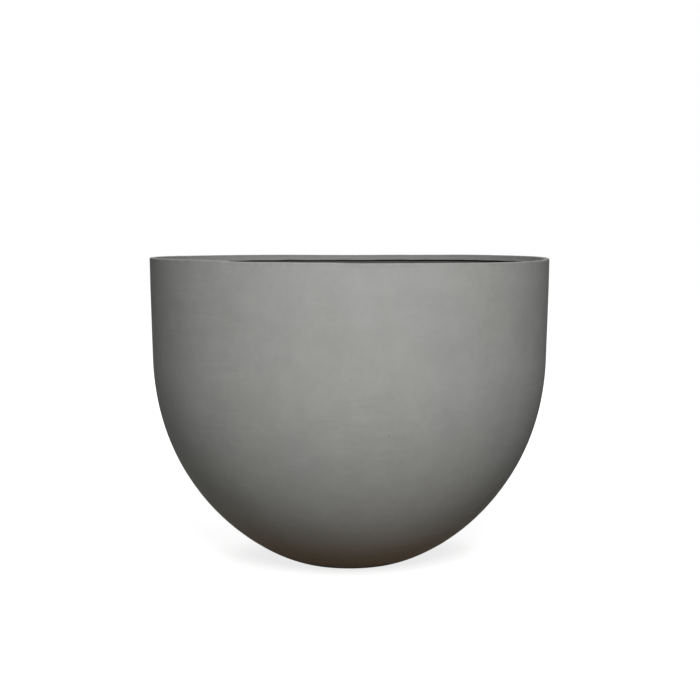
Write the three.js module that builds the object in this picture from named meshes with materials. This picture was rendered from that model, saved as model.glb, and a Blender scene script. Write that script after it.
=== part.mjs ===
// Bowl planter: a thin cast concrete shell with a rubber plug in its drain hole.
// Millimetres, +Z up. The origin is the centre of the base, on the ground.

import * as THREE from 'three';

// ---- Driving dimensions ----

// Outside of the shell
const rimDiameter = 680;
const height = 518;
const wallDepth = 172; // upright wall, from the rim down to the shoulder
const wallLean = 1.15; // degrees that the upright wall draws in towards the base
const shoulderPull = 196; // length of the belly curve's handle under the shoulder
const basePull = 97; // length of the belly curve's handle at the base
const baseDiameter = 220;
const baseRise = 20.5; // degrees that the belly climbs where it leaves the base
const baseRound = 12; // radius between the belly and the foot ring

// Walls and floor
const rimWall = 9.5;
const baseWall = 13; // the wall thickens to this where the belly reaches the base
const floorThickness = 16;
const floorFillet = 60; // radius between the floor and the inside of the belly
const rimOuterRound = 2.5;
const rimInnerRound = 2;

// Underside
const footRingWidth = 28;
const recessDepth = 3; // lifts the drain hole off the ground
const recessDraft = 4; // how far the recess's edge slopes inwards

// Drain hole, and the seat around it that sinks the plug's head into the floor
const drainDiameter = 24;
const drainChamfer = 1.5;
const seatDepth = 2;
const seatMargin = 3; // between the plug's head and the seat's wall
const seatDraft = 2; // how far the seat's wall slopes outwards

// Plug
const plugClearance = 0.3; // between the plug and the concrete, on every side
const plugHeadDiameter = 42;
const plugHeadEdge = 2.5; // height of the head's upright edge
const plugHeadCrown = 3; // how far the head's middle domes above that edge
const plugRibs = 3;
const plugRibDepth = 1.4;
const plugRibLand = 1; // height of each rib's full-width band
const plugTipGap = 1; // from the plug's tip down to the ground
const plugTipTaper = 2; // height of the tapered tip

// Facets
const shellSegments = 96;
const bellySteps = 16;
const liningSteps = 14;
const roundSteps = 3;
const plugSegments = 48;
const crownSteps = 5;

// ---- Sizes that follow ----

const rimRadius = rimDiameter / 2;
const baseRadius = baseDiameter / 2;
const drainRadius = drainDiameter / 2;
const headRadius = plugHeadDiameter / 2;
const seatFloor = floorThickness - seatDepth;
const lean = THREE.MathUtils.degToRad(wallLean);
const rise = THREE.MathUtils.degToRad(baseRise);
const quarterTurn = Math.PI / 2;

const point = (radius, z) => new THREE.Vector2(radius, z);

// Points on an arc about (radius, z). Angles run anticlockwise from straight outwards.
function arc(radius, z, size, from, to, steps) {
  const points = [];
  for (let i = 0; i <= steps; i++) {
    const angle = THREE.MathUtils.lerp(from, to, i / steps);
    points.push(point(radius + size * Math.cos(angle), z + size * Math.sin(angle)));
  }
  return points;
}

// ---- Belly ----

// The belly leaves the upright wall in line with it, and comes in to the base at baseRise.
const shoulder = point(rimRadius - wallDepth * Math.tan(lean), height - wallDepth);
const baseTrim = baseRound * Math.tan(rise / 2); // what the rounding takes off each face
const baseEdge = point(baseRadius + baseTrim * Math.cos(rise), baseTrim * Math.sin(rise));
const belly = new THREE.CubicBezierCurve(
  shoulder,
  point(shoulder.x - shoulderPull * Math.sin(lean), shoulder.y - shoulderPull * Math.cos(lean)),
  point(baseEdge.x + basePull * Math.cos(rise), baseEdge.y + basePull * Math.sin(rise)),
  baseEdge,
);
const bellyEndRate = 3 * basePull; // length of belly to one unit of t, where the curve ends

// The same place on the inside of the shell. Past t = 1 the lining runs straight on.
function lining(t) {
  const at = Math.min(t, 1);
  const along = belly.getTangent(at);
  const wall = THREE.MathUtils.lerp(rimWall, baseWall, at);
  const inside = belly.getPoint(at).addScaledVector(point(along.y, -along.x), wall);
  return inside.addScaledVector(along, (t - at) * bellyEndRate);
}

// Where the lining comes down to the floor, found by halving the stretch that holds it.
function findFloorCorner() {
  let above = 0;
  let below = 2;
  while (below - above > 1e-6) {
    const middle = (above + below) / 2;
    if (lining(middle).y > floorThickness) above = middle;
    else below = middle;
  }
  return above;
}

// ---- Shell ----

// One closed section: up the outside, over the rim, down the lining, across the floor and
// the plug's seat to the drain hole, down through it, and back out under the base.
function shellSection() {
  const outside = [];
  for (let i = 0; i < bellySteps; i++) outside.push(belly.getPoint(1 - i / bellySteps));

  const outerEdge = rimRadius - rimOuterRound * (Math.tan(lean) + 1 / Math.cos(lean));
  const innerFace = rimRadius - rimWall / Math.cos(lean);
  const innerEdge = innerFace - rimInnerRound * (Math.tan(lean) - 1 / Math.cos(lean));

  const corner = findFloorCorner();
  const cornerPoint = lining(corner);
  const fall = lining(corner - 0.01).sub(cornerPoint).angle(); // slope of the lining there
  const filletTrim = floorFillet * Math.tan(fall / 2);
  const filletStart = corner - filletTrim / bellyEndRate;
  const inside = [];
  for (let i = 0; i < liningSteps; i++) inside.push(lining(filletStart * i / liningSteps));

  const ringOuter = baseRadius - baseTrim;
  const ringInner = baseRadius - footRingWidth;
  const flatEdge = cornerPoint.x - filletTrim; // where the fillet runs out into the floor
  const filletCentre = floorThickness + floorFillet;
  const seatRadius = headRadius + seatMargin;
  const section = [
    ...arc(ringOuter, baseRound, baseRound, -quarterTurn, rise - quarterTurn, roundSteps).slice(0, -1),
    ...outside,
    shoulder,
    ...arc(outerEdge, height - rimOuterRound, rimOuterRound, -lean, quarterTurn, roundSteps),
    ...arc(innerEdge, height - rimInnerRound, rimInnerRound, quarterTurn, Math.PI - lean, roundSteps),
    ...inside,
    ...arc(flatEdge, filletCentre, floorFillet, fall - quarterTurn, -quarterTurn, roundSteps),
    point(seatRadius + seatDraft, floorThickness),
    point(seatRadius, seatFloor),
    point(drainRadius + drainChamfer, seatFloor),
    point(drainRadius, seatFloor - drainChamfer),
    point(drainRadius, recessDepth + drainChamfer),
    point(drainRadius + drainChamfer, recessDepth),
    point(ringInner - recessDraft, recessDepth),
    point(ringInner, 0),
  ];
  section.push(section[0].clone());
  return section;
}

// ---- Plug ----

// A domed head that rests in the seat, over a ribbed stem that fills the drain hole.
function plugSection() {
  const seat = seatFloor + plugClearance;
  const ribRadius = drainRadius - plugClearance;
  const stemRadius = ribRadius - plugRibDepth;
  const tip = plugTipGap;
  const ribPitch = (seat - tip - plugTipTaper) / plugRibs;

  const section = [point(0, tip), point(stemRadius - plugRibDepth, tip)];
  for (let i = 0; i < plugRibs; i++) {
    const foot = tip + plugTipTaper + i * ribPitch;
    section.push(
      point(stemRadius, foot),
      point(ribRadius, foot + ribPitch / 2),
      point(ribRadius, foot + ribPitch / 2 + plugRibLand),
      point(stemRadius, foot + ribPitch / 2 + plugRibLand),
    );
  }
  section.push(point(stemRadius, seat), point(headRadius, seat));

  // The crown is the top of a sphere that passes through the head's upper edge.
  const crownRadius = (headRadius ** 2 + plugHeadCrown ** 2) / (2 * plugHeadCrown);
  const crownCentre = seat + plugHeadEdge + plugHeadCrown - crownRadius;
  const edgeAngle = Math.acos(headRadius / crownRadius);
  section.push(...arc(0, crownCentre, crownRadius, edgeAngle, quarterTurn, crownSteps));
  section[section.length - 1].x = 0; // exactly on the axis
  return section;
}

// ---- Assembly ----

// Turns a section about the planter's own axis, which stands upright.
function turned(name, section, segments, material) {
  const geometry = new THREE.LatheGeometry(section, segments);
  geometry.rotateX(quarterTurn);
  const mesh = new THREE.Mesh(geometry, material);
  mesh.name = name;
  return mesh;
}

const concrete = new THREE.MeshStandardMaterial({ color: '#a0a09d', roughness: 0.85, metalness: 0 });
const blackRubber = new THREE.MeshStandardMaterial({ color: '#232323', roughness: 0.7, metalness: 0 });

const planter = new THREE.Group();
planter.add(turned('planter_bowl', shellSection(), shellSegments, concrete));
planter.add(turned('drain_plug', plugSection(), plugSegments, blackRubber));

export default planter;
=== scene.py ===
# Concrete bowl planter: its casting, coat and plug, and the light and camera around them.
import math
import random

import bmesh
import bpy
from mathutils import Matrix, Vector, noise


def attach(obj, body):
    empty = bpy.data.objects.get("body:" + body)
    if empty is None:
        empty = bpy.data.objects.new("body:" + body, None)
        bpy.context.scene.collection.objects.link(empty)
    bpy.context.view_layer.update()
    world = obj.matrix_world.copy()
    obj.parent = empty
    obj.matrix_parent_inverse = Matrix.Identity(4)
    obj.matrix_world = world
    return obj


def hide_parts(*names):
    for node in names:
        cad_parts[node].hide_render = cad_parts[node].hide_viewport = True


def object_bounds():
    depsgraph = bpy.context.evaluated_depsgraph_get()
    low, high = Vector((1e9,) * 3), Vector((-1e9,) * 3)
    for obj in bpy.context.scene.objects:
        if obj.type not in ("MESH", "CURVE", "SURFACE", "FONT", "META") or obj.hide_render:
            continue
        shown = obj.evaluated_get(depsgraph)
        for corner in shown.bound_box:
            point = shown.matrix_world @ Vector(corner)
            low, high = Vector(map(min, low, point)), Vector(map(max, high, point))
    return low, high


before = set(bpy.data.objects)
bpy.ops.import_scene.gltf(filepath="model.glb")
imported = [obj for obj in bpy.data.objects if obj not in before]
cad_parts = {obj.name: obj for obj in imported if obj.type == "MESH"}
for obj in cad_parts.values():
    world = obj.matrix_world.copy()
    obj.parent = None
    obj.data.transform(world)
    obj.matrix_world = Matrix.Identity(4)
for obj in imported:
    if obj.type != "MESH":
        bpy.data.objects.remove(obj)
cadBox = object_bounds()
quarterTurn = math.pi / 2
print("frame loaded")


def arc(centre, size, start, end, steps):  # angles run anticlockwise from straight outwards
    angles = [start + (end - start) * i / steps for i in range(steps + 1)]
    return [centre + Vector((math.cos(angle), math.sin(angle))) * size for angle in angles]


def filled(points, gap):  # no straight stretch stays longer than the gap
    dense = points[:1]
    for point in points[1:]:
        start = dense[-1]
        steps = max(1, math.ceil((point - start).length / gap))
        dense += [start.lerp(point, i / steps) for i in range(1, steps + 1)]
    return dense


def softened(corners, steps=4):  # (radius, height, round) corners, each turned through a short curve
    points = []
    for i, (radius, z, size) in enumerate(corners):
        here = Vector((radius, z))
        if size == 0:
            points.append(here)
            continue
        before = Vector(corners[i - 1][:2]) - here
        after = Vector(corners[i + 1][:2]) - here
        trim = size / math.tan(before.angle(after) / 2)
        start = here + before.normalized() * trim
        end = here + after.normalized() * trim
        for step in range(steps + 1):
            t = step / steps
            points.append(start.lerp(here, t).lerp(here.lerp(end, t), t))
    return points


def smoothStep(low, high, value):
    t = min(max((value - low) / (high - low), 0), 1)
    return t * t * (3 - 2 * t)


def around(turn, radius, z):  # turns run from the front, -Y, towards +X
    return Vector((radius * math.sin(turn), -radius * math.cos(turn), z))


def turned(rows, segments, closed):  # faces of a section turned about the upright axis, row by row
    mesh = bmesh.new()
    for mark in ("edge", "cavity"):  # shares that the finishes read, where they paint shade on the rim's top, along the coat's upper edge and in the bubbles
        mesh.verts.layers.float.new(mark)
    turns = [math.tau * i / segments for i in range(segments)]
    rings = [[mesh.verts.new(around(turn, *row)) for turn in (turns if row[0] > 0 else [0])] for row in rows]
    faces = []
    for lower, upper in zip(rings, rings[1:] + (rings[:1] if closed else [])):
        for i in range(segments):
            j = i + 1
            corners = [(lower, i), (lower, j), (upper, j), (upper, i)]
            corners = [ring[k % len(ring)] for ring, k in corners]
            faces.append(mesh.faces.new(list(dict.fromkeys(corners))))  # a pole counts once
    return mesh, rings, faces


def finished(name, mesh, materials):  # the object made of a bmesh
    data = bpy.data.meshes.new(name)
    mesh.normal_update()
    mesh.to_mesh(data)
    mesh.free()
    data.shade_smooth()
    for material in materials:
        data.materials.append(material)
    piece = bpy.data.objects.new(name, data)
    bpy.context.scene.collection.objects.link(piece)
    return piece


# Shader maths: a Signal is a socket that takes part in Python sums.
class Signal:
    def __init__(self, finish, socket):
        self.finish = finish
        self.socket = socket

    def __add__(self, other):
        return self.finish.sum("ADD", self, other)

    def __radd__(self, other):
        return self.finish.sum("ADD", other, self)

    def __sub__(self, other):
        return self.finish.sum("SUBTRACT", self, other)

    def __rsub__(self, other):
        return self.finish.sum("SUBTRACT", other, self)

    def __mul__(self, other):
        return self.finish.sum("MULTIPLY", self, other)

    def __rmul__(self, other):
        return self.finish.sum("MULTIPLY", other, self)


class Finish:  # a material or a world, and the nodes it is made of
    def __init__(self, owner):
        self.owner = owner
        owner.use_nodes = True
        self.tree = owner.node_tree
        self.tree.nodes.clear()

    def node(self, kind, settings=(), inputs=(), output=0):
        made = self.tree.nodes.new("ShaderNode" + kind)
        for name, value in dict(settings).items():
            setattr(made, name, value)
        for name, value in dict(inputs).items():
            matching = [s for s in made.inputs if s.name == name and s.enabled]
            socket = made.inputs[name] if isinstance(name, int) else matching[0]
            if isinstance(value, Signal):
                self.tree.links.new(value.socket, socket)
            else:
                socket.default_value = (*value, 1) if socket.type == "RGBA" else value
        if isinstance(output, int):
            outputs = [s for s in made.outputs if s.enabled]
            return Signal(self, outputs[output]) if outputs else None
        return Signal(self, made.outputs[output])

    def sum(self, operation, a, b):
        return self.node("Math", {"operation": operation}, {0: a, 1: b})

    def place(self, stretch=(1, 1, 1)):  # metres in the piece's own coordinates, stretched along each axis
        here = self.node("TexCoord", output="Object")
        return self.node("VectorMath", {"operation": "MULTIPLY"}, {0: here, 1: stretch})

    def grain(self, waves, detail=2):  # noise about zero; waves per metre, one number or one for each axis
        stretch = waves if isinstance(waves, tuple) else (waves, waves, waves)
        return self.node("TexNoise", {}, {"Vector": self.place(stretch), "Scale": 1, "Detail": detail}) - 0.5

    def ramp(self, value, low, high):  # 0 below low, 1 above high
        inputs = {"Value": value, "From Min": low, "From Max": high}
        return self.node("MapRange", {"interpolation_type": "SMOOTHSTEP"}, inputs)

    def patches(self, waves, low, high, detail=2):  # from 0 to 1 where the noise climbs from low to high
        return self.ramp(self.grain(waves, detail), low, high)

    def pores(self, scale, share, radius):  # round holes, one in each of a share of the cells
        cells = {"Vector": self.place(), "Scale": scale}
        distance = self.node("TexVoronoi", {}, cells, "Distance")
        cellColour = self.node("TexVoronoi", {}, cells, "Color")
        chance = self.node("SeparateColor", {}, {"Color": cellColour}, "Red")
        hole = 1 - self.ramp(distance, 0.5 * radius * scale, radius * scale)
        return hole * self.sum("LESS_THAN", chance, share)

    def mixed(self, factor, a, b):
        inputs = {"Factor": factor, "A": a, "B": b}
        return self.node("Mix", {"data_type": "RGBA"}, inputs)

    def toned(self, colour, tone):
        return self.node("VectorMath", {"operation": "SCALE"}, {"Vector": colour, "Scale": tone})

    def bump(self, height):  # height in metres
        return self.node("Bump", {}, {"Height": height, "Distance": 1.0, "Strength": 1.0})

    def shown(self, shader, kind="Material"):
        self.node("Output" + kind, {}, {"Surface": shader})
        return self.owner


concrete = {
    "colour": (0.352, 0.352, 0.343),
    "warmColour": (0.354, 0.351, 0.339),
    "warmPatches": (5, -0.12, 0.12),  # waves per metre, and the noise where they set in and are full
    "roughness": 0.88,
    "specular": 0.04,
    # How much the tone varies, and waves per metre. Streaks and wipes lie sideways, as a hand left them.
    "clouds": (0.07, 3),
    "mottles": (0.16, 24),
    "flecks": (0.09, 95),
    "sand": (0.11, 650),
    "streaks": (0.04, (7, 7, 150)),
    "wipes": (0.14, (14, 14, 140)),
    "wipedPatches": (6, 0.0, 0.12),  # where the wipes show, given as the warm patches are
    "paintedRimShade": (0.18, 90),  # painted shade on the top of the rim: how much darker it is, and waves per metre
    # Cells per metre, share of them with a hole, and its radius.
    "pores": (70, 0.3, 0.0004),
    "pinpricks": (260, 0.35, 0.00018),
    "poreDepth": 0.0002,
    "pinprickDepth": 0.00008,
    "poreShade": 0.3,  # painted shade in a pore or a bubble: how much darker it is
    "pinprickShare": 0.6,  # of that, in a pinprick
    "sandHeight": 0.00006,
    "trowelHeight": 0.00012,
    "trowelWaves": (60, 60, 150),
}


def concreteFinish():
    finish = Finish(bpy.data.materials.new("concrete"))
    names = ("clouds", "mottles", "flecks", "sand", "streaks", "wipes")
    layers = {name: finish.grain(concrete[name][1], 3) for name in names}
    layers["wipes"] = layers["wipes"] * finish.patches(*concrete["wipedPatches"])
    tone = 1
    for name, layer in layers.items():
        tone = tone + concrete[name][0] * layer

    # Painted shade: the top of the rim is darkened in patches, read from the edge mark.
    shade, waves = concrete["paintedRimShade"]
    edge = finish.node("Attribute", {"attribute_name": "edge"}, {}, "Fac")
    paintedRimShade = edge * (0.5 + 2 * finish.grain(waves, 3))
    pores = finish.pores(*concrete["pores"])
    pinpricks = finish.pores(*concrete["pinpricks"])
    # Painted shade in the bubbles and pores: they are made darker by poreShade.
    cavity = finish.node("Attribute", {"attribute_name": "cavity"}, {}, "Fac")
    holes = finish.sum("MAXIMUM", pores, concrete["pinprickShare"] * pinpricks)
    holes = finish.sum("MAXIMUM", cavity, holes)
    tone = tone - shade * paintedRimShade - concrete["poreShade"] * holes
    warmth = finish.patches(*concrete["warmPatches"])
    colour = finish.toned(finish.mixed(warmth, concrete["colour"], concrete["warmColour"]), tone)

    height = concrete["trowelHeight"] * finish.grain(concrete["trowelWaves"])
    height = height + concrete["sandHeight"] * layers["sand"]
    height = height - concrete["poreDepth"] * pores - concrete["pinprickDepth"] * pinpricks
    return finish.shown(finish.node("BsdfPrincipled", {}, {
        "Base Color": colour,
        "Roughness": concrete["roughness"] + 0.1 * layers["mottles"] + 0.05 * paintedRimShade,
        "Specular IOR Level": concrete["specular"],
        "Normal": finish.bump(height),
    }))


coat = {
    "colour": (0.125, 0.125, 0.122),  # dusty
    "shadowLineColour": (0.008, 0.008, 0.008),  # painted shadow: a near-black line along the coat's upper edge
    "roughness": 0.6,
    "specular": 0.06,
    # Height, and waves per metre. The brush went sideways.
    "strokes": (0.0003, (14, 14, 320)),
    "patches": (0.0004, 18),
    "grit": (0.00005, 500),
    "strokeTone": 0.7,  # how much the tone varies
    "patchTone": 0.8,
}


def coatFinish():  # the waterproof coat brushed on inside
    finish = Finish(bpy.data.materials.new("waterproof_coat"))
    strokes = finish.grain(coat["strokes"][1], 4)
    patches = finish.grain(coat["patches"][1], 3)
    grit = finish.grain(coat["grit"][1])
    tone = 1 + coat["strokeTone"] * strokes + coat["patchTone"] * patches
    # Painted shadow line along the coat's upper edge, read from the edge mark.
    paintedShadowLine = finish.node("Attribute", {"attribute_name": "edge"}, {}, "Fac")
    height = coat["strokes"][0] * strokes + coat["patches"][0] * patches + coat["grit"][0] * grit
    return finish.shown(finish.node("BsdfPrincipled", {}, {
        "Base Color": finish.toned(finish.mixed(paintedShadowLine, coat["colour"], coat["shadowLineColour"]), tone),
        "Roughness": coat["roughness"] + 0.3 * strokes + 0.3 * patches,
        "Specular IOR Level": coat["specular"],
        "Normal": finish.bump(height),
    }))


rubber = {
    "colour": (0.018, 0.018, 0.018),
    "bloomColour": (0.040, 0.040, 0.038),  # the pale film of wax on old rubber
    "roughness": 0.62,
    "specular": 0.4,
    "film": (130, -0.05, 0.2, 4),  # waves per metre, the noise where it sets in and is full, and detail
    "filmShare": 0.6,  # of the bloom's colour where it is full
    # Height, and waves per metre.
    "grain": (0.00003, 1500),
    "ripples": (0.00006, 260),
}


def rubberFinish():
    finish = Finish(bpy.data.materials.new("rubber"))
    film = finish.patches(*rubber["film"])
    grain = rubber["grain"][0] * finish.grain(rubber["grain"][1])
    ripples = rubber["ripples"][0] * finish.grain(rubber["ripples"][1])
    return finish.shown(finish.node("BsdfPrincipled", {}, {
        "Base Color": finish.mixed(rubber["filmShare"] * film, rubber["colour"], rubber["bloomColour"]),
        "Roughness": rubber["roughness"] + 0.2 * film,
        "Specular IOR Level": rubber["specular"],
        "Normal": finish.bump(grain + ripples),
    }))


bowl = {
    "wallDepth": 0.172,  # upright wall, from the rim down to the shoulder
    "wallLean": math.radians(1.15),
    "shoulderPull": 0.196,  # handles of the belly's curve
    "basePull": 0.097,
    "baseRadius": 0.110,
    "baseRise": math.radians(20.5),
    "baseRound": 0.012,
    "rimWall": 0.0095,
    "baseWall": 0.013,
    "rimOuterRound": 0.0025,
    "rimInnerRound": 0.002,
    "floor": 0.016,
    "floorFillet": 0.060,
    "footRing": 0.028,
    "recess": 0.003,
    "recessDraft": 0.004,
    "drain": 0.012,
    "chamfer": 0.0015,
    "seat": 0.024,
    "seatDepth": 0.002,
    "seatDraft": 0.002,
    # Rounds of the smaller edges.
    "floorEdgeRound": 0.002,
    "seatRound": 0.001,
    "drainRound": 0.0005,
    "recessRound": 0.003,
    "footRound": 0.0012,
    # Faces round the bowl, steps along its curves, and the longest stretch between two rows elsewhere.
    "segments": 288,
    "bellySteps": 80,
    "liningSteps": 34,
    "rimSteps": 8,
    "baseSteps": 6,
    "wallGap": 0.005,
    "rimGap": 0.002,
    "shadowLineGap": 0.001,
    "liningGap": 0.010,
    "baseGap": 0.012,
    "bareBand": 0.010,  # bare concrete inside the rim, above the coat
    "coatThickness": 0.0005,
    "coatWander": (0.0007, 30),  # how far the coat's brushed edge wanders up and down, and waves per metre
    "coatEdgeReach": 0.006,  # how far above and below the edge goes with it
    # How far that edge stands below the rest of it, at turns in degrees from the front.
    "coatDips": [(-180, 0), (-165, 0.0002), (-145, 0.0009), (-130, 0.0013), (-90, 0.0004), (-60, 0),
                 (180, 0)],
    "shadowLineBand": 0.005,  # below the coat's edge, with finer rows for the painted shadow line
    "shadowLineFade": (0.0045, 0.0025),  # below the coat's edge, where the painted shadow line sets in and is full
    "shadowLineFullness": (0.8, 0.2),  # how dark the painted shadow line is: its mean, and how much it swings round the bowl
    "shadowLineFullest": math.radians(120),  # the turn at which the painted shadow line is darkest
    # How far the hand-finished rim stands under its highest point, at turns in degrees from the front.
    "rimDips": [(-145, 0.0009), (-90, 0), (-41, 0), (-26, 0.0021), (-7, 0.0023), (4, 0.0033), (50, 0.0039),
                (105, 0.0002), (135, 0), (160, 0.0012), (180, 0.0021), (215, 0.0009)],
    "rimDipReach": 0.060,
    # Unevenness of the casting: depth from crest to hollow, and waves per metre.
    "swell": (0.0005, 8),
    "ripple": (0.00015, 36),
    "innerRoughness": (0.0009, 26),
    "rimNicks": (0.0003, 70),
    # Where the unevenness sets in, and where it is full.
    "bellyCalm": (0.002, 0.03),  # above the ground
    "floorCalm": (0.03, 0.05),  # from the axis, past the plug's seat
    "innerCalm": 0.03,  # below the coat's edge
    "rimInwards": (0.05, 0.01),  # below the rim, where it comes to go inwards only
    "bellyInwards": (0.20, 0.12),  # above the ground, the same
    "rimTop": (0.006, 0.001),  # below the rim, where nicks and the painted shade on the rim's top set in
    # Bubbles seen on the front: degrees round from the front, height, radius.
    "frontPits": [(10.3, 0.2606, 0.0011), (-2.4, 0.339, 0.0006), (-0.4, 0.312, 0.0006),
                  (26.8, 0.3175, 0.0006), (32.5, 0.399, 0.0006)],
    "otherPits": 16,
    "otherPitTurns": (35, 325),
    "otherPitHeights": (0.07, 0.49),
    "otherPitRadii": (0.0004, 0.0011),
    "pitSeed": 11,
    "pitDepth": 0.7,  # of its radius
    "pitEdge": (0.5, 1.1),  # radii from its middle, where its wall starts to climb and ends
    "pitReaches": (0.008, 0.0045),  # how far out the faces get finer, twice
    "pitLeastReach": 0.0015,
}
rimRadius = cadBox[1][0]
rimHeight = cadBox[1][2]


def dipAt(turn, dips):  # between the turns of the list, which goes once round
    first = dips[0][0]
    degrees = (math.degrees(turn) - first) % 360 + first
    for (start, dip), (end, nextDip) in zip(dips, dips[1:]):
        if degrees <= end:
            return dip + (nextDip - dip) * smoothStep(start, end, degrees)


def bellyCurve():
    lean = bowl["wallLean"]
    climb = Vector((math.cos(bowl["baseRise"]), math.sin(bowl["baseRise"])))
    corner = rimRadius + bowl["rimOuterRound"] * (math.tan(lean) + 1 / math.cos(lean) - 1)
    shoulder = Vector((corner - bowl["wallDepth"] * math.tan(lean), rimHeight - bowl["wallDepth"]))
    base = Vector((bowl["baseRadius"], 0)) + climb * bowl["baseRound"] * math.tan(bowl["baseRise"] / 2)
    underShoulder = shoulder - Vector((math.sin(lean), math.cos(lean))) * bowl["shoulderPull"]
    return [shoulder, underShoulder, base + climb * bowl["basePull"], base]


def onCurve(curve, t):  # the place and the direction at t
    a, b, c, d = curve
    place = a * (1 - t) ** 3 + b * 3 * t * (1 - t) ** 2 + c * 3 * t * t * (1 - t) + d * t ** 3
    along = (b - a) * (1 - t) ** 2 + (c - b) * 2 * t * (1 - t) + (d - c) * t * t
    return place, along.normalized()


def lining(curve, t):  # inside of the shell, which runs straight on past the curve's end
    at = min(t, 1)
    place, along = onCurve(curve, at)
    wall = bowl["rimWall"] + (bowl["baseWall"] - bowl["rimWall"]) * at
    return place + Vector((along.y, -along.x)) * wall + along * (t - at) * 3 * bowl["basePull"]


def floorCorner(curve):  # where the lining comes down to the floor, found by halving
    above, below = 0, 2
    while below - above > 1e-6:
        middle = (above + below) / 2
        if lining(curve, middle).y > bowl["floor"]:
            above = middle
        else:
            below = middle
    return above


def bowlOutline():  # the closed section, from the base up the outside, over the rim and back underneath
    lean, rise = bowl["wallLean"], bowl["baseRise"]
    curve = bellyCurve()
    shoulder = curve[0]
    corner = shoulder.x + bowl["wallDepth"] * math.tan(lean)
    ringOuter = bowl["baseRadius"] - bowl["baseRound"] * math.tan(rise / 2)
    ringInner = bowl["baseRadius"] - bowl["footRing"]

    baseRound, steps = bowl["baseRound"], bowl["bellySteps"]
    baseCentre = Vector((ringOuter, baseRound))
    belly = arc(baseCentre, baseRound, -quarterTurn, rise - quarterTurn, bowl["baseSteps"])
    belly += [onCurve(curve, 1 - i / steps)[0] for i in range(1, steps + 1)]

    outerRound, innerRound = bowl["rimOuterRound"], bowl["rimInnerRound"]
    outerEdge = corner - outerRound * (math.tan(lean) + 1 / math.cos(lean))
    innerFace = corner - bowl["rimWall"] / math.cos(lean)
    innerEdge = innerFace - innerRound * (math.tan(lean) - 1 / math.cos(lean))
    outerCentre = Vector((outerEdge, rimHeight - outerRound))
    innerCentre = Vector((innerEdge, rimHeight - innerRound))
    rim = arc(outerCentre, outerRound, -lean, quarterTurn, bowl["rimSteps"])
    wall = filled([belly[-1], rim[0]], bowl["wallGap"])[1:-1]
    rim += arc(innerCentre, innerRound, quarterTurn, math.pi - lean, bowl["rimSteps"])

    innerShoulder = lining(curve, 0)
    down = (innerShoulder - rim[-1]).normalized()
    coatEdge = rim[-1] + down * (bowl["bareBand"] - innerRound)
    ledge = coatEdge + (down + Vector((down.y, -down.x))) * bowl["coatThickness"]
    band = filled([rim[-1], coatEdge], bowl["rimGap"])[1:]

    end = floorCorner(curve)
    floorEdge = lining(curve, end)
    slope = lining(curve, end - 0.01) - floorEdge
    fall = math.atan2(slope.y, slope.x)
    trim = bowl["floorFillet"] * math.tan(fall / 2)
    filletStart = end - trim / (3 * bowl["basePull"])
    flatEdge = floorEdge.x - trim
    shadowLineEnd = ledge + down * bowl["shadowLineBand"]
    lined = filled([ledge, shadowLineEnd], bowl["shadowLineGap"])[:-1]
    lined += filled([shadowLineEnd, innerShoulder], bowl["liningGap"])
    steps = bowl["liningSteps"]
    lined += [lining(curve, filletStart * i / steps) for i in range(1, steps)]
    filletCentre = Vector((flatEdge, bowl["floor"] + bowl["floorFillet"]))
    lined += arc(filletCentre, bowl["floorFillet"], fall - quarterTurn, -quarterTurn, bowl["baseSteps"])

    drain, chamfer, seat = bowl["drain"], bowl["chamfer"], bowl["seat"]
    seatFloor, recess = bowl["floor"] - bowl["seatDepth"], bowl["recess"]
    floor = filled(softened([
        (flatEdge, bowl["floor"], 0),
        (seat + bowl["seatDraft"], bowl["floor"], bowl["floorEdgeRound"]),
        (seat, seatFloor, bowl["seatRound"]),
        (drain + chamfer, seatFloor, bowl["drainRound"]),
        (drain, seatFloor - chamfer, bowl["drainRound"]),
        (drain, bowl["floor"] / 2, 0),
    ]), bowl["baseGap"])[1:]
    under = filled(softened([
        (drain, bowl["floor"] / 2, 0),
        (drain, recess + chamfer, bowl["drainRound"]),
        (drain + chamfer, recess, bowl["drainRound"]),
        (ringInner - bowl["recessDraft"], recess, bowl["recessRound"]),
        (ringInner, 0, bowl["footRound"]),
        (ringOuter, 0, 0),
    ]), bowl["baseGap"])[1:-1]
    rim = filled(rim, bowl["rimGap"])
    return {
        "belly": belly,
        "wall": wall,
        "rim": rim,
        "band": band,
        "lined": lined,
        "floor": floor,
        "under": under,
    }


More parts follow.
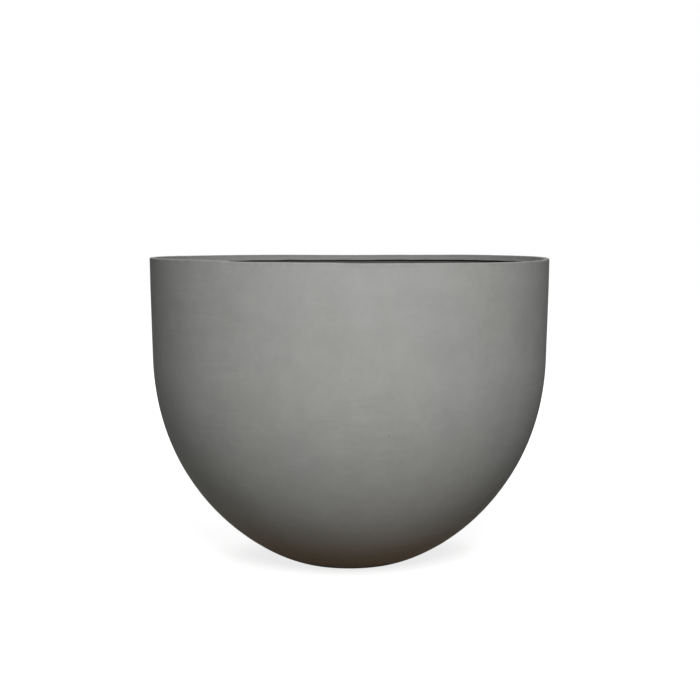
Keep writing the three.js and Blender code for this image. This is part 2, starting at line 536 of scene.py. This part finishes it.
def shapeCasting(mesh, rings, rows):  # the unevenness of a real casting, inside the planter's own size
    edge = mesh.verts.layers.float["edge"]
    coatEdge = rimHeight - bowl["bareBand"]
    moved = []
    for k, (part, row) in enumerate(rows):
        before, after = rows[k - 1][1], rows[(k + 1) % len(rows)][1]
        slope = (after - before).normalized()
        z = row.y
        below = rimHeight - z
        belowCoat = coatEdge - z
        uneven = 0 if part == "under" else smoothStep(*bowl["floorCalm"], row.x)
        if part == "belly":
            uneven = smoothStep(*bowl["bellyCalm"], z)
        inner = smoothStep(0, bowl["innerCalm"], belowCoat) if part in ("lined", "floor") else 0
        inwards = 0.5 * max(smoothStep(*bowl["rimInwards"], below), smoothStep(*bowl["bellyInwards"], z))
        nearRim = smoothStep(*bowl["rimTop"], below)
        dipped = smoothStep(bowl["rimDipReach"], 0, below)
        nearCoat = max(0, 1 - abs(belowCoat) / bowl["coatEdgeReach"]) if part in ("band", "lined") else 0
        # Painted shadow line along the coat's upper edge, fading in below it.
        paintedShadowLine = smoothStep(*bowl["shadowLineFade"], belowCoat) if part == "lined" else 0
        for vertex in rings[k]:
            here = vertex.co
            turn = math.atan2(here.x, -here.y)
            depth = 0
            for size, waves in (bowl["swell"], bowl["ripple"]):
                depth += uneven * size * (inwards + 0.5 * noise.noise(here * waves))
            size, waves = bowl["innerRoughness"]
            depth += uneven * inner * size * (0.5 + 0.5 * noise.noise(here * waves))
            size, waves = bowl["rimNicks"]
            depth += nearRim * size * max(0, noise.noise(here * waves))
            out = Vector((slope.y * math.sin(turn), -slope.y * math.cos(turn), -slope.x))
            size, waves = bowl["coatWander"]
            wander = size * noise.noise(here * waves) - dipAt(turn, bowl["coatDips"])
            rise = nearCoat * wander - dipped * dipAt(turn, bowl["rimDips"])
            moved.append((vertex, here - out * depth + Vector((0, 0, rise))))
            mean, swing = bowl["shadowLineFullness"]
            fullness = mean + swing * math.cos(turn - bowl["shadowLineFullest"])
            # Painted shade on the rim's top, and the painted shadow line along the coat's upper edge.
            vertex[edge] = max(nearRim, paintedShadowLine * fullness)
    for vertex, place in moved:
        vertex.co = place


def outsideRadius(z):
    outline = bowlOutline()
    points = outline["belly"] + outline["wall"] + outline["rim"][:1]
    for low, high in zip(points, points[1:]):
        if low.y <= z <= high.y:
            return low.lerp(high, (z - low.y) / (high.y - low.y)).x
    return rimRadius


def facesNear(start, centre, reach):  # spreading from one vertex
    found, seen, waiting = set(), {start}, [start]
    while waiting:
        for face in waiting.pop().link_faces:
            if face not in found and (face.calc_center_median() - centre).length < reach:
                found.add(face)
                waiting += [corner for corner in face.verts if corner not in seen]
                seen.update(face.verts)
    return found


def addPits(mesh, pits):  # each bubble's hole gets finer faces and a dent of its own
    cavity = mesh.verts.layers.float["cavity"]
    for degrees, z, radius in pits:
        centre = around(math.radians(degrees), outsideRadius(z), z)
        mesh.verts.ensure_lookup_table()
        nearest = min(mesh.verts, key=lambda vertex: (vertex.co - centre).length_squared)
        out = nearest.normal.copy()
        centre += out * (nearest.co - centre).dot(out)
        for reach in (*bowl["pitReaches"], 3 * radius, 2 * radius):
            faces = facesNear(nearest, centre, max(reach, 2 * radius, bowl["pitLeastReach"]))
            edges = {line for face in faces for line in face.edges}
            made = bmesh.ops.subdivide_edges(mesh, edges=list(edges), cuts=1, use_grid_fill=True)
            parts = made["geom"] + made["geom_inner"]
            corners = [part for part in parts if isinstance(part, bmesh.types.BMVert)]
            nearest = min(corners, key=lambda vertex: (vertex.co - centre).length_squared)
        for vertex in {corner for face in facesNear(nearest, centre, 2 * radius) for corner in face.verts}:
            share = (vertex.co - centre).length / radius
            dent = 1 - smoothStep(*bowl["pitEdge"], share)
            vertex.co -= out * dent * bowl["pitDepth"] * radius
            # Painted shade in the bubble's hollow, which the concrete reads through the cavity mark.
            vertex[cavity] = dent


def buildBowl():
    outline = bowlOutline()
    rows = [(part, point) for part, points in outline.items() for point in points]
    mesh, rings, faces = turned([tuple(point) for part, point in rows], bowl["segments"], True)
    coated = [part in ("lined", "floor") for part, point in rows]
    coatStart = coated.index(True)
    for i, face in enumerate(faces):
        row = i // bowl["segments"]
        face.material_index = 1 if coated[row] or row == coatStart - 1 else 0
    shapeCasting(mesh, rings, rows)
    mesh.normal_update()
    chance = random.Random(bowl["pitSeed"])
    spans = (bowl["otherPitTurns"], bowl["otherPitHeights"], bowl["otherPitRadii"])
    pits = list(bowl["frontPits"])
    for i in range(bowl["otherPits"]):
        pits.append(tuple(chance.uniform(*span) for span in spans))
    addPits(mesh, pits)
    casting = finished("bowl_casting", mesh, [concreteFinish(), coatFinish()])
    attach(casting, "bowl")
    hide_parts("planter_bowl")
    print("bowl cast:", len(casting.data.polygons), "faces")


plug = {
    "clearance": 0.0003,
    "headRadius": 0.021,
    "headEdge": 0.0025,
    "headCrown": 0.003,
    "ribs": 3,
    "ribDepth": 0.0014,
    "ribLand": 0.001,
    "tip": 0.001,
    "tipTaper": 0.002,
    "grooveRadius": 0.0135,  # a moulded ring in the head
    "grooveWidth": 0.0016,
    "grooveDepth": 0.0004,
    "grooveFlat": 0.3,  # share of its width at full depth
    "gateRadius": 0.002,  # the dimple left where the rubber was let into its mould
    "gateFlat": 0.6,
    # Rounds of the edges.
    "tipRound": 0.0005,
    "rootRound": 0.0002,
    "ribRound": 0.0003,
    "headRound": 0.0006,
    "crownRound": 0.0009,
    "segments": 120,
    "crownSteps": 40,
    "edgeSteps": 3,  # of those, left out for the round at the crown's edge
    "gap": 0.0015,  # longest stretch between two rows
}


def plugOutline():
    ribRadius = bowl["drain"] - plug["clearance"]
    stem = ribRadius - plug["ribDepth"]
    seat = bowl["floor"] - bowl["seatDepth"] + plug["clearance"]
    foot = plug["tip"] + plug["tipTaper"]
    pitch = (seat - foot) / plug["ribs"]
    corners = [(0, plug["tip"], 0), (stem - plug["ribDepth"], plug["tip"], plug["tipRound"])]
    for i in range(plug["ribs"]):
        low = foot + i * pitch
        wide = low + pitch / 2
        corners += [
            (stem, low, plug["rootRound"]),
            (ribRadius, wide, plug["ribRound"]),
            (ribRadius, wide + plug["ribLand"], plug["rootRound"]),
            (stem, wide + plug["ribLand"], plug["rootRound"]),
        ]
    head = plug["headRadius"]
    corners += [(stem, seat, plug["ribRound"]), (head, seat, plug["headRound"])]
    sphere = (head ** 2 + plug["headCrown"] ** 2) / (2 * plug["headCrown"])
    crownCentre = Vector((0, seat + plug["headEdge"] + plug["headCrown"] - sphere))
    crown = arc(crownCentre, sphere, math.acos(head / sphere), quarterTurn, plug["crownSteps"])
    crownStart = crown[plug["edgeSteps"]]
    corners.append((head, crown[0].y, plug["crownRound"]))
    corners.append((*crownStart, 0))
    points = filled(softened(corners), plug["gap"]) + crown[plug["edgeSteps"] + 1:-1]
    shaped = []
    for point in points + [Vector((0, crown[-1].y))]:
        fromGroove = abs(point.x - plug["grooveRadius"]) / (plug["grooveWidth"] / 2)
        groove = 1 - smoothStep(plug["grooveFlat"], 1, fromGroove)
        gate = 1 - smoothStep(plug["gateFlat"], 1, point.x / plug["gateRadius"])
        onCrown = point.y > crownStart.y
        shaped.append((point.x, point.y - onCrown * plug["grooveDepth"] * max(groove, gate)))
    return shaped


def buildPlug():
    mesh, rings, faces = turned(plugOutline(), plug["segments"], False)
    stopper = finished("rubber_stopper", mesh, [rubberFinish()])
    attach(stopper, "plug")
    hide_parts("drain_plug")
    print("plug moulded:", len(stopper.data.polygons), "faces")


studio = {
    "floorHalf": 9.0,
    "nearBounce": (0.185, 0.110, 0.049),  # what lights the planter's foot from below, and its belly
    "farBounce": (0.25, 0.26, 0.243),
    "bounceRadius": (0.23, 0.42),
    # The share of that which the floor sends back far out on either side, and where it gets darker.
    "rightShare": 0.15,
    "rightSpan": (0.2, 0.8),
    "leftShare": 0.8,
    "leftSpan": (0.3, 1.0),
    "shownColour": (0.5, 0.5, 0.5),
    "shownGlow": 0.80,  # near the planter, and 1 far from it
    "glowRadius": (0.45, 1.3),
    "darkRadius": (0.085, 0.105),  # under the foot, seen through the drain hole
    "ambient": 0.14,
}


def shownRays(finish):  # 1 for the camera's rays, and those that glossy and clear surfaces send on
    path = [finish.node("LightPath", {}, {}, name) for name in
            ("Is Camera Ray", "Is Glossy Ray", "Is Transmission Ray")]
    return finish.sum("MAXIMUM", finish.sum("MAXIMUM", path[0], path[1]), path[2])


def buildStudio():
    finish = Finish(bpy.data.materials.new("pale_floor"))
    away = finish.node("VectorMath", {"operation": "LENGTH"}, {0: finish.place((1, 1, 0))}, "Value")
    glow = studio["shownGlow"] + (1 - studio["shownGlow"]) * finish.ramp(away, *studio["glowRadius"])
    glow = glow * finish.ramp(away, *studio["darkRadius"])
    shown = finish.node("AddShader", {}, {
        0: finish.node("BsdfDiffuse", {}, {"Color": studio["shownColour"]}),
        1: finish.node("Emission", {}, {"Color": (1, 1, 1), "Strength": glow}),
    })
    far = finish.ramp(away, *studio["bounceRadius"])
    across = finish.node("SeparateXYZ", {}, {"Vector": finish.place()}, "X")
    right = (1 - studio["rightShare"]) * finish.ramp(across, *studio["rightSpan"])
    left = (1 - studio["leftShare"]) * finish.ramp(0 - across, *studio["leftSpan"])
    bounceColour = finish.mixed(far, studio["nearBounce"], studio["farBounce"])
    bounceColour = finish.toned(bounceColour, 1 - right - left)
    bounce = finish.node("BsdfDiffuse", {}, {"Color": bounceColour})
    material = finish.shown(finish.node("MixShader", {}, {0: shownRays(finish), 1: bounce, 2: shown}))
    mesh = bmesh.new()
    half = studio["floorHalf"]
    corners = [(-half, -half, 0), (half, -half, 0), (half, half, 0), (-half, half, 0)]
    mesh.faces.new([mesh.verts.new(corner) for corner in corners])
    floor = finished("studio_floor", mesh, [material])

    air = Finish(bpy.data.worlds.new("studio"))
    strength = studio["ambient"] + (1 - studio["ambient"]) * shownRays(air)
    sky = air.node("Background", {}, {"Color": (1, 1, 1), "Strength": strength})
    bpy.context.scene.world = air.shown(sky, "World")
    print("studio laid out")


lamps = {  # place, what it points at, width, height, power, spread in degrees
    "key": ((0.21, -1.9, 1.5), (0, 0, 0.3), 0.8, 0.8, 38.5, 180),
    "back": ((-0.3, 2.2, 1.6), (0, 0, 0.3), 1.4, 1.0, 30, 180),
    "inside": ((0, 0, 2.4), (0, 0, 0), 0.3, 0.3, 0.2, 12),  # straight down into the bowl, clear of the rim
}


def buildLamps():
    for name, (place, aim, width, height, power, spread) in lamps.items():
        light = bpy.data.lights.new(name, "AREA")
        light.shape = "RECTANGLE"
        light.size = width
        light.size_y = height
        light.energy = power
        light.spread = math.radians(spread)
        lamp = bpy.data.objects.new(name, light)
        lamp.location = place
        lamp.rotation_euler = (Vector(aim) - Vector(place)).to_track_quat("-Z", "Y").to_euler()
        bpy.context.scene.collection.objects.link(lamp)
    print("lamps hung")


camera = {
    "distance": 2.0155,  # in front of the planter's axis
    "side": 0.0009,
    "aboveRim": 0.0354,
    "tilt": math.radians(5.58),
    "lens": 60.0,
}


def buildCamera():
    lens = bpy.data.cameras.new("camera")
    lens.lens = camera["lens"]
    eye = bpy.data.objects.new("camera", lens)
    eye.location = (camera["side"], -camera["distance"], rimHeight + camera["aboveRim"])
    eye.rotation_euler = (quarterTurn - camera["tilt"], 0, 0)
    bpy.context.scene.collection.objects.link(eye)
    bpy.context.scene.camera = eye
    print("camera placed")


buildCamera()
buildBowl()
buildPlug()
buildStudio()
buildLamps()
bpy.context.scene.view_settings.view_transform = "Standard"
